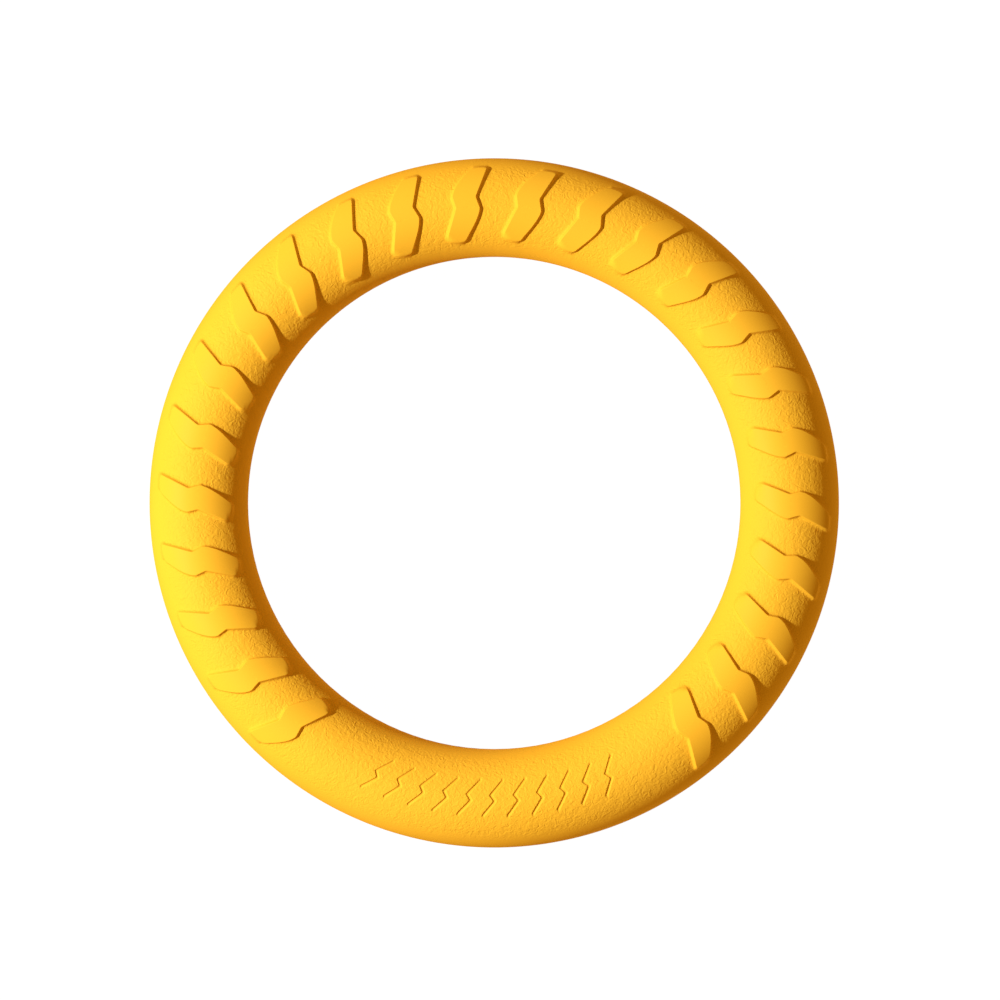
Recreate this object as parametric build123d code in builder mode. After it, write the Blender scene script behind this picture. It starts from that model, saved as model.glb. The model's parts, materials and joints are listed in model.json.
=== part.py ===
from build123d import *
import math
import os

os.makedirs("parts", exist_ok=True)

# A thick foam exercise ring, lying flat. Millimetres. Its axis is Z and its plain band faces -Y.
ring_radius = 120.0     # ring axis to the middle of the tube
tube_radius = 20.1      # round section, before the flats at the parting line
bore_radius = 100.0     # inner flat at the parting line
rim_radius = 140.0      # outer flat at the parting line
skin_thickness = 3.0    # dense moulded skin over the lighter core
film_thickness = 0.4    # adhesive between the two halves

pad_height = 1.5        # grip pads stand this far off the skin
pad_count = 24
pad_pitch = 12.0        # degrees between pads; six pitches at the bottom are left plain
first_pad_angle = -48.62    # anticlockwise from +X, the pad just right of the plain band
pad_corner = 1.0        # rounded corners of a pad, seen from above
pad_bend_limit = 8.0    # the sharp bends of its sides lie nearer than this to the ring's middle line
pad_foot = 6.0          # height above the mid-plane where the pad blocks start

stroke_count = 11       # grooves in the plain band of the front face
stroke_pitch = 4.6      # degrees between grooves
stroke_middle = -90.25  # anticlockwise from +X, the middle of the row
stroke_width = 1.0
groove_depth = 0.5

middle_height = tube_radius + pad_height

# The two long sides of a pad, as (distance across, distance outward) from the pad's own middle.
# Each is straight on one half and curved on the other. The clockwise side runs inward and the other one
# outward, and the inner end is cut back where the other one starts. A pad reaches further out than in.
clockwise_straight = [(10.15, 15.9), (4.1, 3.8), (5.4, -0.8)]
clockwise_curve = [(5.4, -0.8), (3.75, -5.1), (0.45, -10.2), (-2.25, -14.1)]
other_straight = [(-9.05, -11.8), (-4.25, -0.1), (-5.35, 4.2)]
other_curve = [(-5.35, 4.2), (-3.85, 7.8), (-0.65, 11.6), (4.05, 15.9)]

# The middle line of one groove: a thin zigzag that echoes the pads.
stroke_line = [(4.0, 7.2), (-0.9, 1.2), (0.9, -1.2), (-4.0, -7.2)]


def on_ring(across, outward):
    """Bends a point of the flat outline round the ring, measuring across along the arc."""
    radius = ring_radius + outward
    return (radius * math.cos(across / radius), -radius * math.sin(across / radius))


def bent(points):
    """Bends every point of an outline round the ring."""
    return [on_ring(across, outward) for across, outward in points]


with BuildSketch() as pad_outline:
    with BuildLine():
        Polyline(*bent(clockwise_straight))
        Spline(*bent(clockwise_curve))
        Line(*bent([clockwise_curve[-1], other_straight[0]]))
        Polyline(*bent(other_straight))
        Spline(*bent(other_curve))
        Line(*bent([other_curve[-1], clockwise_straight[0]]))
    make_face()
    pad_ends = pad_outline.vertices().filter_by(
        lambda corner: abs(math.hypot(corner.X, corner.Y) - ring_radius) > pad_bend_limit
    )
    fillet(pad_ends, pad_corner)

with BuildSketch() as stroke_outline:
    with BuildLine() as stroke:
        Polyline(*bent(stroke_line))
    trace(stroke.line, stroke_width)

# Pads: upright blocks trimmed to a slightly fatter tube, so their tops follow its curve.
with BuildSketch(Plane.XZ) as pad_depth:
    with Locations((ring_radius, 0)):
        Circle(tube_radius + pad_height)
        Circle(tube_radius - skin_thickness / 2, mode=Mode.SUBTRACT)

with BuildPart() as pads:
    with BuildSketch(Plane.XY.offset(pad_foot)):
        with PolarLocations(0, pad_count, start_angle=first_pad_angle,
                            angular_range=pad_pitch * (pad_count - 1), endpoint=True):
            add(pad_outline.sketch)
    extrude(amount=tube_radius)
    revolve(pad_depth.sketch, axis=Axis.Z, mode=Mode.INTERSECT)

# Grooves: upright blocks with everything below the groove floor taken away.
with BuildSketch(Plane.XZ) as groove_reach:
    with Locations((ring_radius, 0)):
        Circle(tube_radius + pad_height)
        Circle(tube_radius - groove_depth, mode=Mode.SUBTRACT)

with BuildPart() as grooves:
    with BuildSketch(Plane.XY.offset(pad_foot)):
        with PolarLocations(0, stroke_count,
                            start_angle=stroke_middle - stroke_pitch * (stroke_count - 1) / 2,
                            angular_range=stroke_pitch * (stroke_count - 1), endpoint=True):
            add(stroke_outline.sketch)
    extrude(amount=tube_radius)
    revolve(groove_reach.sketch, axis=Axis.Z, mode=Mode.INTERSECT)

# One moulded face, mid-plane at zero height: half a tube wall with its pads.
with BuildPart() as face_shell:
    with BuildSketch(Plane.XZ) as wall_section:
        with Locations((ring_radius, 0)):
            Circle(tube_radius)
            Circle(tube_radius - skin_thickness, mode=Mode.SUBTRACT)
        with Locations((ring_radius, film_thickness / 2)):
            Rectangle(rim_radius - bore_radius, tube_radius,
                      align=(Align.CENTER, Align.MIN), mode=Mode.INTERSECT)
    revolve(axis=Axis.Z)
    add(pads.part)

with BuildPart() as half_core:
    with BuildSketch(Plane.XZ) as core_section:
        with Locations((ring_radius, 0)):
            Circle(tube_radius - skin_thickness)
        with Locations((ring_radius, film_thickness / 2)):
            Rectangle(rim_radius - bore_radius, tube_radius,
                      align=(Align.CENTER, Align.MIN), mode=Mode.INTERSECT)
    revolve(axis=Axis.Z)

front_place = Location((0, 0, middle_height))
rear_place = Location((0, 0, middle_height), (0, 180, 0))
plain_face = face_shell.part.moved(front_place)
groove_blocks = grooves.part.moved(front_place)
turned_face = face_shell.part.moved(rear_place)
upper_core = half_core.part.moved(front_place)
lower_core = half_core.part.moved(rear_place)

with BuildPart() as front_skin:
    add(plain_face)
    add(groove_blocks, mode=Mode.SUBTRACT)

with BuildPart() as rear_skin:
    add(turned_face)

with BuildPart() as front_core:
    add(upper_core)

with BuildPart() as rear_core:
    add(lower_core)

with BuildPart() as bond_film:
    with BuildSketch(Plane.XY.offset(middle_height - film_thickness / 2)):
        Circle(rim_radius)
        Circle(bore_radius, mode=Mode.SUBTRACT)
    extrude(amount=film_thickness)

pieces = {
    "front_skin": front_skin,
    "front_core": front_core,
    "bond_film": bond_film,
    "rear_core": rear_core,
    "rear_skin": rear_skin,
}
for piece_name, piece in pieces.items():
    piece.part.label = piece_name
    export_step(piece.part, f"parts/{piece_name}.step")
    print(piece_name, len(piece.part.solids()), round(piece.part.volume, 1))
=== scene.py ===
import json
import math
import bpy
import numpy as np
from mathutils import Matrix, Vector


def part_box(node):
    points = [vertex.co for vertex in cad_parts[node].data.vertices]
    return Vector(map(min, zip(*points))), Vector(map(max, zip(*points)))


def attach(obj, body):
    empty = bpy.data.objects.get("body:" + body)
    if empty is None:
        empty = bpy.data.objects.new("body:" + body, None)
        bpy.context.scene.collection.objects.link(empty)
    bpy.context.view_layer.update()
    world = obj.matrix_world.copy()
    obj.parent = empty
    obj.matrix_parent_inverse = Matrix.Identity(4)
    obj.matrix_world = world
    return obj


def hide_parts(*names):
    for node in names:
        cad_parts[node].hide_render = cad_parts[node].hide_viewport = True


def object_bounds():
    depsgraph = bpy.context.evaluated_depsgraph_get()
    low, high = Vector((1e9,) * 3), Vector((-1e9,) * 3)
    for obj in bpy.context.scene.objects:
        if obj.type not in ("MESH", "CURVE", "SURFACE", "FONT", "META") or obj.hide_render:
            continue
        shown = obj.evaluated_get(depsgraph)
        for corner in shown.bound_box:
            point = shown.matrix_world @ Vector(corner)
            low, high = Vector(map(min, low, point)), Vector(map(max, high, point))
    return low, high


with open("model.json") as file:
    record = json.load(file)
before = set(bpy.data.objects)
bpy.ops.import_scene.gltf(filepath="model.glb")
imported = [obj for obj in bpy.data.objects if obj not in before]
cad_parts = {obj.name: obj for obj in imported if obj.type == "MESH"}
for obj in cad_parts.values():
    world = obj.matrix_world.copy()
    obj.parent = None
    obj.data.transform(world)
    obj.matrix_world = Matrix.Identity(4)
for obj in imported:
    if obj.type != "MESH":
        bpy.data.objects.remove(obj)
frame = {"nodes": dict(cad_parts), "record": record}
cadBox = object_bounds()
nodes = frame["nodes"]
print("frame loaded:", sorted(nodes))

# The frame gives every place: the glue film marks the parting line, the skin's top is a pad's crown
filmLow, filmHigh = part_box("bond_film")
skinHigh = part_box("front_skin")[1]
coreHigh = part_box("front_core")[1]
boreMount = next(m for m in frame["record"]["mounts"] if m["name"] == "centre_opening")

middleHeight = (filmLow.z + filmHigh.z) / 2
rimRadius = cadBox[1].x
boreRadius = boreMount["dims"]["r_mm"] / 1000
ringRadius = (rimRadius + boreRadius) / 2
crownRadius = skinHigh.z - middleHeight         # tube's middle to the top of a pad
cavityRadius = coreHigh.z - middleHeight        # tube's middle to the back of the skin
flatReach = (rimRadius - boreRadius) / 2        # tube's middle to the flats at the parting line
seamHeight = filmHigh.z - middleHeight

# One pad, laid flat: (outward, across) from its middle, across being clockwise seen from the front
pad = {
    "count": 24,
    "pitch": math.radians(12),
    "first": math.radians(-48.62),      # anticlockwise from +X, the pad just right of the plain band
    "height": 0.0015,
    "outerReach": 0.0159,               # middle to the outer end
    "innerReach": 0.0141,
    "leadRuns": [(-0.0008, 0.0054), (0.0038, 0.0041), (0.0159, 0.01015)],
    "leadCurve": [(-0.0141, -0.00225), (-0.0102, 0.00045), (-0.0051, 0.00375), (-0.0008, 0.0054)],
    "trailRuns": [(-0.0141, -0.01), (-0.0001, -0.00425), (0.0042, -0.00535)],
    "trailCurve": [(0.0042, -0.00535), (0.0078, -0.00385), (0.0116, -0.00065), (0.0159, 0.00405)],
    "bendRound": 0.0005,                # how far each bend of a side is averaged
    "corner": 0.001,
    "wideCorner": 0.0018,               # on the acute corner at the inner end of the trailing side
    "innerCut": 0.0022,                 # how much shorter the trailing side is at the inner end
    "foot": 0.0021,                     # how far the wall's foot spreads outside the outline
    "edge": 0.0001,                     # how far the rounding of its top edge reaches inside
    "steepness": 7,
    "endRounds": 12,                    # rounds of averaging that find the upright ends
    "endStep": 0.3,                     # how much of the new height each round takes
    "span": 1.5,                        # how far the sampled side runs, in outer reaches
    "samples": 2401,
    "columns": [0.002, 0.0012, 0.00085, 0.0006, 0.0004, 0.00022, 0.00007, -0.00008, -0.0002, -0.00045],
    "topColumns": 3,
    "gapColumns": 6,
}
tubeRadius = crownRadius - pad["height"]

# The row of pressed zigzag grooves in the front's plain band
groove = {
    "count": 11,
    "pitch": math.radians(4.6),
    "middle": math.radians(-90.25),     # anticlockwise from +X
    "depth": 0.0005,
    "width": 0.001,
    "wall": 0.00015,                    # half the width of its eased wall
    "line": [(-0.0072, -0.004), (-0.0012, 0.0009), (0.0012, -0.0009), (0.0072, 0.004)],
    "span": 2,                          # how far the sampled line runs, in its own lengths
    "samples": 1201,
    "columns": [0.0009, 0.00066, 0.00052, 0.00036, 0, -0.00036, -0.00052, -0.00066, -0.0009],
    "gapColumns": 4,
    "bandColumns": 26,                  # from a pad to the nearest groove, or half of a plain band
}

# Rows round the tube, in degrees from the crown, closest together where a pad ends or bends
rows = {
    "stops": [-84.3, -52, -37, -5, 15, 46, 59, 84.3],
    "counts": [7, 16, 20, 11, 19, 14, 6],
    "cavityCount": 9,
    "flatPoint": 0.0015,                # height above the glue line of one row on the flat
    "lip": 0.00025,                     # rounding of the skin's edge at the glue line
    "lipMiddle": 0.3,                   # share of the lip by which its middle point stands back
    "grainEnd": [45, 60],               # the grain fades out between these turns
}


# A pad side's across distance at an outward distance: straight runs joined point to point on one half,
# the cubic through four points on the other, then averaged over a short stretch to round its bends.
# The lean turns a distance across into a distance square to the side.
def padSide(side, outward):
    reach = pad["outerReach"]
    runs, curve = np.array(pad[side + "Runs"]), np.array(pad[side + "Curve"])
    fine = np.linspace(-pad["span"] * reach, pad["span"] * reach, pad["samples"])
    held = np.clip(fine, -pad["innerReach"], reach)
    onCurve = (held >= curve[0, 0]) & (held <= curve[-1, 0])
    cubic = np.polyfit(curve[:, 0] / reach, curve[:, 1], 3)
    line = np.where(onCurve, np.polyval(cubic, held / reach), np.interp(held, runs[:, 0], runs[:, 1]))
    half = int(pad["bendRound"] / (fine[1] - fine[0]))
    weight = np.hanning(2 * half + 3)[1:-1]
    line = np.convolve(np.pad(line, half, mode="edge"), weight / weight.sum(), "valid")
    lean = 1 / np.hypot(1, np.gradient(line, fine))
    return np.interp(outward, fine, line), np.interp(outward, fine, lean)


# The share of full pad height at a depth inside the outline: with t running from nought at the foot to
# one inside the edge, n + 1 times t to the n, less n times t to the n + 1. It is flat at both ends.
def wallShare(depth):
    steepness = pad["steepness"]
    t = np.clip((depth + pad["foot"]) / (pad["foot"] + pad["edge"]), 0, 1)
    return (steepness + 1) * t ** steepness - steepness * t ** (steepness + 1)


# The share of full pad height all over the tube. The depth inside the outline is the least distance to
# two sides and two ends, with a quarter circle at each corner, and the inner end is cut back by a square
# law towards the trailing side. The ends stand upright, so their distance is measured where the lifted
# point is, and a few rounds of averaging find the lift.
def padShare(across, turn):
    middle = (tubeRadius + pad["height"] / 2) * np.sin(turn)
    lead, leadLean = padSide("lead", middle)
    trail, trailLean = padSide("trail", middle)
    fromLead, fromTrail = (lead - across) * leadLean, (across - trail) * trailLean
    corner = np.where((fromTrail < fromLead) & (middle < 0), pad["wideCorner"], pad["corner"])
    fromSides = np.minimum(np.minimum(fromLead, fromTrail), corner)
    towardsTrail = np.clip((lead - across) / (lead - trail), 0, 1)
    reach = np.where(middle < 0, pad["innerReach"] - pad["innerCut"] * towardsTrail ** 2, pad["outerReach"])
    share = wallShare(fromSides)
    for _ in range(pad["endRounds"]):
        lifted = tubeRadius + pad["height"] * share
        fromEnds = np.minimum(reach - lifted * np.abs(np.sin(turn)), corner)
        depth = corner - np.hypot(corner - fromSides, corner - fromEnds)
        share = (1 - pad["endStep"]) * share + pad["endStep"] * wallShare(depth)
    return share


# A groove's middle line: the across distance at an outward distance, held past its ends
def grooveLine(outward):
    points = np.array(groove["line"])
    fine = np.linspace(groove["span"] * points[0, 0], groove["span"] * points[-1, 0], groove["samples"])
    line = np.interp(fine, points[:, 0], points[:, 1])
    lean = 1 / np.hypot(1, np.gradient(line, fine))
    return np.interp(outward, fine, line), np.interp(outward, fine, lean)


# The share of full groove depth: one within half the width of the middle line, with eased walls and ends
def grooveShare(across, turn):
    outward = tubeRadius * np.sin(turn)
    line, lean = grooveLine(outward)
    end = groove["line"][-1][0]
    past = np.maximum(np.abs(outward) - end, 0)
    distance = np.hypot((across - line) * lean, past)
    share = np.clip((groove["width"] / 2 + groove["wall"] - distance) / (2 * groove["wall"]), 0, 1)
    return share * share * (3 - 2 * share)


# Angles of the guide lines round the ring, one row for each turn round the tube: every pad side and
# groove has a bundle of lines that keep their distance from it, and each line is middle - across / radius
def guideLines(turn, withGrooves):
    outward = (tubeRadius + pad["height"] / 2) * np.sin(turn)
    radius = ringRadius + outward
    offsets = np.array(pad["columns"])[:, None]
    lead, leadLean = padSide("lead", outward)
    trail, trailLean = padSide("trail", outward)
    padAcross = np.concatenate([lead + offsets / leadLean, trail - offsets[::-1] / trailLean])
    padMiddles = pad["first"] + pad["pitch"] * np.arange(pad["count"])
    lines = (padMiddles[:, None, None] - padAcross / radius).reshape(-1, len(turn))
    unfilled = np.zeros(len(offsets) - 1)
    fill = np.tile(np.r_[unfilled, pad["topColumns"], unfilled, pad["gapColumns"]], pad["count"])
    fill[-1] = groove["bandColumns"]
    if withGrooves:
        outward = tubeRadius * np.sin(turn)
        line, lean = grooveLine(outward)
        grooveAcross = line + np.array(groove["columns"])[:, None] / lean
        steps = np.arange(groove["count"]) - (groove["count"] - 1) / 2
        middles = groove["middle"] + 2 * math.pi + groove["pitch"] * steps
        more = (middles[:, None, None] - grooveAcross / radius).reshape(-1, len(turn))
        lines = np.concatenate([lines, more])
        unfilled = np.zeros(len(groove["columns"]) - 1)
        extra = np.tile(np.r_[unfilled, groove["gapColumns"]], groove["count"])
        extra[-1] = groove["bandColumns"]
        fill = np.concatenate([fill, extra])
    else:
        fill[-1] = 2 * groove["bandColumns"]
    return lines, fill.astype(int)


# Every column of the grid: the guide lines, and evenly spaced lines filled in between neighbours
def allColumns(turn, withGrooves):
    lines, fill = guideLines(turn, withGrooves)
    closed = np.concatenate([lines, lines[:1] + 2 * math.pi])
    pieces = fill + 1
    start = np.repeat(np.arange(len(fill)), pieces)
    counted = np.arange(pieces.sum()) - np.repeat(np.cumsum(pieces) - pieces, pieces)
    part = (counted / np.repeat(pieces, pieces))[:, None]
    return closed[start] * (1 - part) + closed[start + 1] * part


# One section of the skin as a closed loop: the outer arc from flat to flat over the crown, the flats,
# the two rounded lips at the glue line, and the cavity's arc back again
def sectionLoop():
    stops, counts = rows["stops"], rows["counts"]
    runs = [np.linspace(a, b, n, endpoint=False) for a, b, n in zip(stops, stops[1:], counts)]
    outerTurn = np.radians(np.concatenate([*runs, [stops[-1]]]))
    lip = rows["lip"]
    back = rows["lipMiddle"] * lip
    lipOut = flatReach - np.array([0, 0, back, lip])
    lipUp = seamHeight + np.array([rows["flatPoint"], lip, back, 0])
    inner = math.acos(seamHeight / cavityRadius)
    innerTurn = np.linspace(inner, -inner, rows["cavityCount"])
    outerOut, outerUp = tubeRadius * np.sin(outerTurn), tubeRadius * np.cos(outerTurn)
    innerOut, innerUp = cavityRadius * np.sin(innerTurn), cavityRadius * np.cos(innerTurn)
    out = np.concatenate([outerOut, lipOut, innerOut, -lipOut[::-1]])
    up = np.concatenate([outerUp, lipUp, innerUp, lipUp[::-1]])
    turn = np.arctan2(out, up)
    isOuter = np.arange(len(out)) < len(outerTurn)
    return np.clip(out, -flatReach, flatReach), up, turn, isOuter


# A mesh from a grid of points closed both ways, its faces pointing out of the skin
def closedGrid(name, points, masks):
    across, around = points.shape[:2]
    number = np.arange(across * around).reshape(across, around)
    nextColumn = np.roll(number, -1, 0)
    corners = [number, np.roll(number, -1, 1), np.roll(nextColumn, -1, 1), nextColumn]
    quads = np.stack(corners, -1).reshape(-1, 4)
    mesh = bpy.data.meshes.new(name)
    mesh.vertices.add(across * around)
    mesh.vertices.foreach_set("co", points.astype(np.float32).ravel())
    mesh.loops.add(quads.size)
    mesh.loops.foreach_set("vertex_index", quads.astype(np.int32).ravel())
    mesh.polygons.add(len(quads))
    mesh.polygons.foreach_set("loop_start", np.arange(0, quads.size, 4, dtype=np.int32))
    mesh.update(calc_edges=True)
    mesh.polygons.foreach_set("use_smooth", np.ones(len(quads), bool))
    for maskName, values in masks.items():
        mask = mesh.attributes.new(maskName, "FLOAT", "POINT")
        mask.data.foreach_set("value", values.astype(np.float32).ravel())
    mesh.validate()
    piece = bpy.data.objects.new(name, mesh)
    bpy.context.scene.collection.objects.link(piece)
    return piece


# The number of the pad nearest to each angle. Past the last pad, in the plain band, it is the last one or,
# from half-way on, the first one again, which is a full turn's pitches along.
def nearestPad(angle):
    lastPad = pad["count"] - 1
    fullTurn = round(2 * math.pi / pad["pitch"])
    step = np.round((angle - pad["first"]) / pad["pitch"])
    beyond = np.where(step > (lastPad + fullTurn) / 2, fullTurn, lastPad)
    return np.where(step > lastPad, beyond, step)


# A moulded skin: the section loop at every column, raised by the pads and lowered by the grooves along
# its own normal. The rear face is the front one turned half a turn about Y.
def makeSkin(name, withGrooves, isRear):
    out, up, turn, isOuter = sectionLoop()
    angle = allColumns(turn, withGrooves)
    radius = ringRadius + (tubeRadius + pad["height"] / 2) * np.sin(turn)
    padMiddle = pad["first"] + pad["pitch"] * nearestPad(angle)
    raised = padShare((padMiddle - angle) * radius, turn[None, :]) * isOuter
    pressed = np.zeros_like(raised)
    if withGrooves:
        steps = np.round((angle - 2 * math.pi - groove["middle"]) / groove["pitch"])
        limit = (groove["count"] - 1) / 2
        grooveMiddle = groove["middle"] + 2 * math.pi + groove["pitch"] * np.clip(steps, -limit, limit)
        pressed = grooveShare((grooveMiddle - angle) * radius, turn[None, :]) * isOuter
    lift = raised * pad["height"] - pressed * groove["depth"]
    grainEnd = np.radians(rows["grainEnd"])
    bare = np.clip((np.abs(turn) - grainEnd[0]) / (grainEnd[1] - grainEnd[0]), 0, 1)[None, :]
    smooth = np.maximum(np.maximum(raised, pressed), bare)
    outward = np.where(isOuter, np.clip(out + lift * np.sin(turn), -flatReach, flatReach), out)
    upward = up + lift * np.cos(turn)
    far = ringRadius + outward
    points = np.stack([far * np.cos(angle), far * np.sin(angle), middleHeight + upward], -1)
    if isRear:
        points[..., 0] *= -1
        points[..., 2] = 2 * middleHeight - points[..., 2]
    skin = closedGrid(name, points, {"smoothArea": smooth})
    print(name, "columns and rows:", points.shape[:2], "triangles:", 2 * points.shape[0] * points.shape[1])
    return skin


colourA, colourB, colourOut = 6, 7, 2       # the colour sockets of a Mix node


# A new shader node: each setting goes to the input of that name, or else to the node's own property
def addNode(owner, kind, **settings):
    node = owner.node_tree.nodes.new(kind)
    for key, value in settings.items():
        if key in node.inputs:
            node.inputs[key].default_value = value
        else:
            setattr(node, key, value)
    return node


# One link of a material or of the world
def join(owner, fromNode, output, toNode, entry):
    owner.node_tree.links.new(fromNode.outputs[output], toNode.inputs[entry])


foamLook = {
    "colour": (0.74, 0.365, 0.026, 1),
    "deepColour": (0.71, 0.34, 0.018, 1),
    "cloudScale": 14.0,                 # slow drift between the two colours, in patches per metre
    "cloudDetail": 4.0,
    "specular": 0.03,
    "padRoughness": 0.5,
    "grainRoughness": 0.6,
    "wrinkleScale": 560,                # wrinkles per metre
    "wrinkleDetail": 1.0,
    "wrinkleTwist": 1.1,
    "wrinkleHeight": 0.00036,
    "poreScale": 2600,
    "poreDetail": 3.0,
    "poreRoughness": 0.6,
    "poreHeight": 0.00002,
}


# Moulded foam: wrinkled grain outside the pads, smooth and a little glossier on them
def mouldedFoam():
    look = foamLook
    foam = bpy.data.materials.new("mouldedFoam")
    foam.use_nodes = True
    shader = foam.node_tree.nodes["Principled BSDF"]
    shader.inputs["Specular IOR Level"].default_value = look["specular"]
    place = addNode(foam, "ShaderNodeTexCoord")
    smoothArea = addNode(foam, "ShaderNodeAttribute", attribute_name="smoothArea")
    grained = addNode(foam, "ShaderNodeMath", operation="SUBTRACT")
    grained.inputs[0].default_value = 1
    join(foam, smoothArea, "Fac", grained, 1)
    wrinkle = addNode(foam, "ShaderNodeTexNoise", Scale=look["wrinkleScale"], Detail=look["wrinkleDetail"])
    wrinkle.inputs["Distortion"].default_value = look["wrinkleTwist"]
    join(foam, place, "Object", wrinkle, "Vector")
    pore = addNode(foam, "ShaderNodeTexNoise", Scale=look["poreScale"], Detail=look["poreDetail"])
    pore.inputs["Roughness"].default_value = look["poreRoughness"]
    join(foam, place, "Object", pore, "Vector")
    wrinkleBump = addNode(foam, "ShaderNodeBump", Distance=look["wrinkleHeight"])
    join(foam, wrinkle, "Fac", wrinkleBump, "Height")
    join(foam, grained, 0, wrinkleBump, "Strength")
    poreBump = addNode(foam, "ShaderNodeBump", Distance=look["poreHeight"], Strength=1.0)
    join(foam, pore, "Fac", poreBump, "Height")
    join(foam, wrinkleBump, "Normal", poreBump, "Normal")
    join(foam, poreBump, "Normal", shader, "Normal")
    cloud = addNode(foam, "ShaderNodeTexNoise", Scale=look["cloudScale"], Detail=look["cloudDetail"])
    join(foam, place, "Object", cloud, "Vector")
    tint = addNode(foam, "ShaderNodeMix", data_type="RGBA")
    tint.inputs[colourA].default_value = look["colour"]
    tint.inputs[colourB].default_value = look["deepColour"]
    join(foam, cloud, "Fac", tint, 0)
    join(foam, tint, colourOut, shader, "Base Color")
    gloss = addNode(foam, "ShaderNodeMapRange")
    gloss.inputs["To Min"].default_value = look["grainRoughness"]
    gloss.inputs["To Max"].default_value = look["padRoughness"]
    join(foam, smoothArea, "Fac", gloss, "Value")
    join(foam, gloss, "Result", shader, "Roughness")
    return foam


cellLook = {
    "middleColour": (0.7, 0.25, 0.01, 1),
    "edgeColour": (0.95, 0.45, 0.03, 1),
    "roughness": 0.8,
    "scale": 1400.0,                    # cells per metre
    "height": 0.0002,
    "strength": 0.8,
}


# Cut foam of the core: closed cells, coloured and dented by the distance from each cell's middle
def cellFoam():
    foam = bpy.data.materials.new("cellFoam")
    foam.use_nodes = True
    shader = foam.node_tree.nodes["Principled BSDF"]
    shader.inputs["Roughness"].default_value = cellLook["roughness"]
    place = addNode(foam, "ShaderNodeTexCoord")
    cell = addNode(foam, "ShaderNodeTexVoronoi", Scale=cellLook["scale"])
    join(foam, place, "Object", cell, "Vector")
    tint = addNode(foam, "ShaderNodeValToRGB")
    tint.color_ramp.elements[0].color = cellLook["middleColour"]
    tint.color_ramp.elements[1].color = cellLook["edgeColour"]
    join(foam, cell, "Distance", tint, "Fac")
    join(foam, tint, "Color", shader, "Base Color")
    bump = addNode(foam, "ShaderNodeBump", Distance=cellLook["height"], Strength=cellLook["strength"])
    join(foam, cell, "Distance", bump, "Height")
    join(foam, bump, "Normal", shader, "Normal")
    return foam


glueLook = {
    "darkColour": (0.42, 0.13, 0.004, 1),
    "paleColour": (0.62, 0.22, 0.008, 1),
    "roughness": 0.35,
    "scale": 900.0,                     # beads per metre
    "detail": 2.0,
    "height": 0.0001,
    "strength": 0.6,
}


# The glue line: slightly darker and shinier, with small beads along it
def glueLine():
    glue = bpy.data.materials.new("glueLine")
    glue.use_nodes = True
    shader = glue.node_tree.nodes["Principled BSDF"]
    shader.inputs["Roughness"].default_value = glueLook["roughness"]
    place = addNode(glue, "ShaderNodeTexCoord")
    bead = addNode(glue, "ShaderNodeTexNoise", Scale=glueLook["scale"], Detail=glueLook["detail"])
    join(glue, place, "Object", bead, "Vector")
    tint = addNode(glue, "ShaderNodeValToRGB")
    tint.color_ramp.elements[0].color = glueLook["darkColour"]
    tint.color_ramp.elements[1].color = glueLook["paleColour"]
    join(glue, bead, "Fac", tint, "Fac")
    join(glue, tint, "Color", shader, "Base Color")
    bump = addNode(glue, "ShaderNodeBump", Distance=glueLook["height"], Strength=glueLook["strength"])
    join(glue, bead, "Fac", bump, "Height")
    join(glue, bump, "Normal", shader, "Normal")
    return glue


# A carried-over CAD node gets one material over all of its faces
def dress(node, material):
    nodes[node].data.materials.clear()
    nodes[node].data.materials.append(material)


foam = mouldedFoam()
frontFace = makeSkin("front_grip_face", True, False)
frontFace.data.materials.append(foam)
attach(frontFace, "root")
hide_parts("front_skin")

rearFace = makeSkin("rear_grip_face", False, True)
rearFace.data.materials.append(foam)
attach(rearFace, "root")
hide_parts("rear_skin")
print("skins made")

cells = cellFoam()
dress("front_core", cells)
dress("rear_core", cells)
dress("bond_film", glueLine())
print("cores and glue line dressed")


floorPlan = {
    "half": 40,                         # middle to edge, in ring radii
    "colour": (0.03, 0.03, 0.03, 1),    # dark under its own glow, so that no shadow shows
    "warmGlow": (1, 0.66, 0.1, 1),      # what it sends up to the ring
    "whiteGlow": (1, 1, 1, 1),          # what it looks like
}


# A flat square floor that glows
def makeFloor():
    half = floorPlan["half"] * ringRadius
    corners = [(-half, -half, 0), (half, -half, 0), (half, half, 0), (-half, half, 0)]
    mesh = bpy.data.meshes.new("floor")
    mesh.from_pydata(corners, [], [(0, 1, 2, 3)])
    floor = bpy.data.objects.new("floor", mesh)
    bpy.context.scene.collection.objects.link(floor)
    paper = bpy.data.materials.new("whitePaper")
    paper.use_nodes = True
    shader = paper.node_tree.nodes["Principled BSDF"]
    shader.inputs["Base Color"].default_value = floorPlan["colour"]
    shader.inputs["Roughness"].default_value = 1.0
    shader.inputs["Specular IOR Level"].default_value = 0.0
    shader.inputs["Emission Strength"].default_value = 1.0
    rays = addNode(paper, "ShaderNodeLightPath")
    glow = addNode(paper, "ShaderNodeMix", data_type="RGBA")
    glow.inputs[colourA].default_value = floorPlan["warmGlow"]
    glow.inputs[colourB].default_value = floorPlan["whiteGlow"]
    join(paper, rays, "Is Camera Ray", glow, 0)
    join(paper, glow, colourOut, shader, "Emission Color")
    mesh.materials.append(paper)


lights = {
    "keyTurn": 179.3,                   # degrees anticlockwise from +X that the light comes from
    "keyHeight": 44,                    # degrees above the floor
    "keyDistance": 3.6,
    "keyStrength": 6.3,                 # watts per square metre that reach the ring
    "keyColour": (0.89, 1, 1),
    "keyRadius": 0.08,
    "skyColour": (1, 0.64, 0.15, 1),
    "skyStrength": 0.4,
    "backdrop": (1, 1, 1, 1),           # what the sky looks like, while its warm colour does the lighting
}


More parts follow.
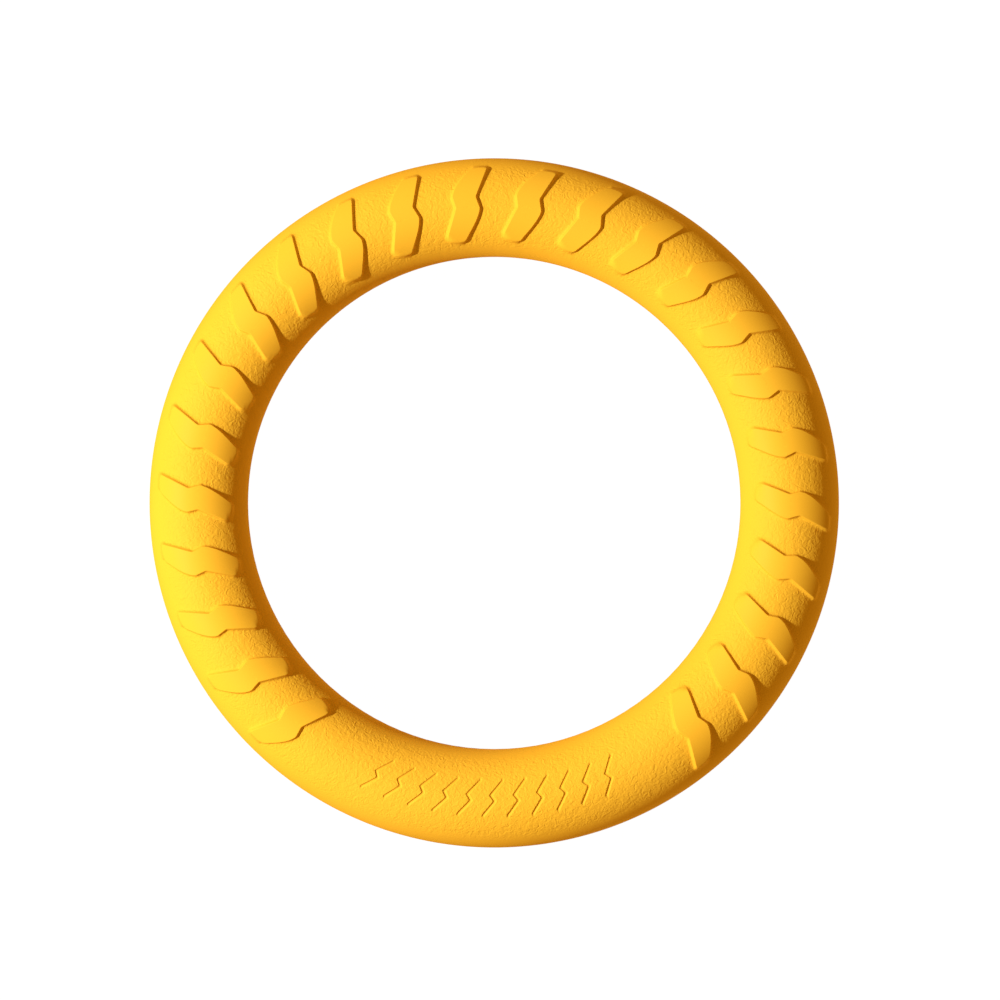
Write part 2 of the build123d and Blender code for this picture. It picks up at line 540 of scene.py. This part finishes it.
# A key lamp and the sky. The lamp's power is its strength at the ring, times the area of a sphere as large
# as its distance.
def makeLights():
    key = bpy.data.lights.new("keyLight", "POINT")
    key.energy = 4 * math.pi * lights["keyDistance"] ** 2 * lights["keyStrength"]
    key.color = lights["keyColour"]
    key.shadow_soft_size = lights["keyRadius"]
    holder = bpy.data.objects.new("keyLight", key)
    turn, height = math.radians(lights["keyTurn"]), math.radians(lights["keyHeight"])
    level = math.cos(height)
    toLight = Vector((math.cos(turn) * level, math.sin(turn) * level, math.sin(height)))
    holder.location = Vector((0, 0, middleHeight)) + lights["keyDistance"] * toLight
    bpy.context.scene.collection.objects.link(holder)
    world = bpy.data.worlds.new("studio")
    world.use_nodes = True
    sky = world.node_tree.nodes["Background"]
    sky.inputs["Color"].default_value = lights["skyColour"]
    sky.inputs["Strength"].default_value = lights["skyStrength"]
    backdrop = addNode(world, "ShaderNodeBackground", Color=lights["backdrop"], Strength=1.0)
    rays = addNode(world, "ShaderNodeLightPath")
    either = addNode(world, "ShaderNodeMixShader")
    join(world, rays, "Is Camera Ray", either, 0)
    join(world, sky, 0, either, 1)
    join(world, backdrop, 0, either, 2)
    join(world, either, 0, world.node_tree.nodes["World Output"], "Surface")
    bpy.context.scene.world = world


cameraPlan = {
    "distance": 6.0,                    # above the ring's middle plane
    "lean": 1.1,                        # degrees towards the plain band
    "sensor": 36,                       # millimetres
    "frameWidth": 0.40624,              # seen at the middle plane
    "aside": 0.00234,                   # how far the view's middle is right of the ring's
    "above": 0.00115,                   # and how far it is towards the pads opposite the plain band
}


# The camera looks down at the ring's middle plane. Its lens is sensor times distance over frame width.
def makeCamera():
    lens = bpy.data.cameras.new("camera")
    lens.sensor_width = cameraPlan["sensor"]
    lens.lens = cameraPlan["sensor"] * cameraPlan["distance"] / cameraPlan["frameWidth"]
    camera = bpy.data.objects.new("camera", lens)
    target = Vector((cameraPlan["aside"], cameraPlan["above"], middleHeight))
    lean = math.radians(cameraPlan["lean"])
    camera.location = target + Vector((0, -math.sin(lean), math.cos(lean))) * cameraPlan["distance"]
    camera.rotation_euler = (target - camera.location).to_track_quat("-Z", "Y").to_euler()
    bpy.context.scene.collection.objects.link(camera)
    bpy.context.scene.camera = camera


makeFloor()
makeLights()
makeCamera()
bpy.context.scene.view_settings.view_transform = "Standard"
print("floor, lights and camera placed")
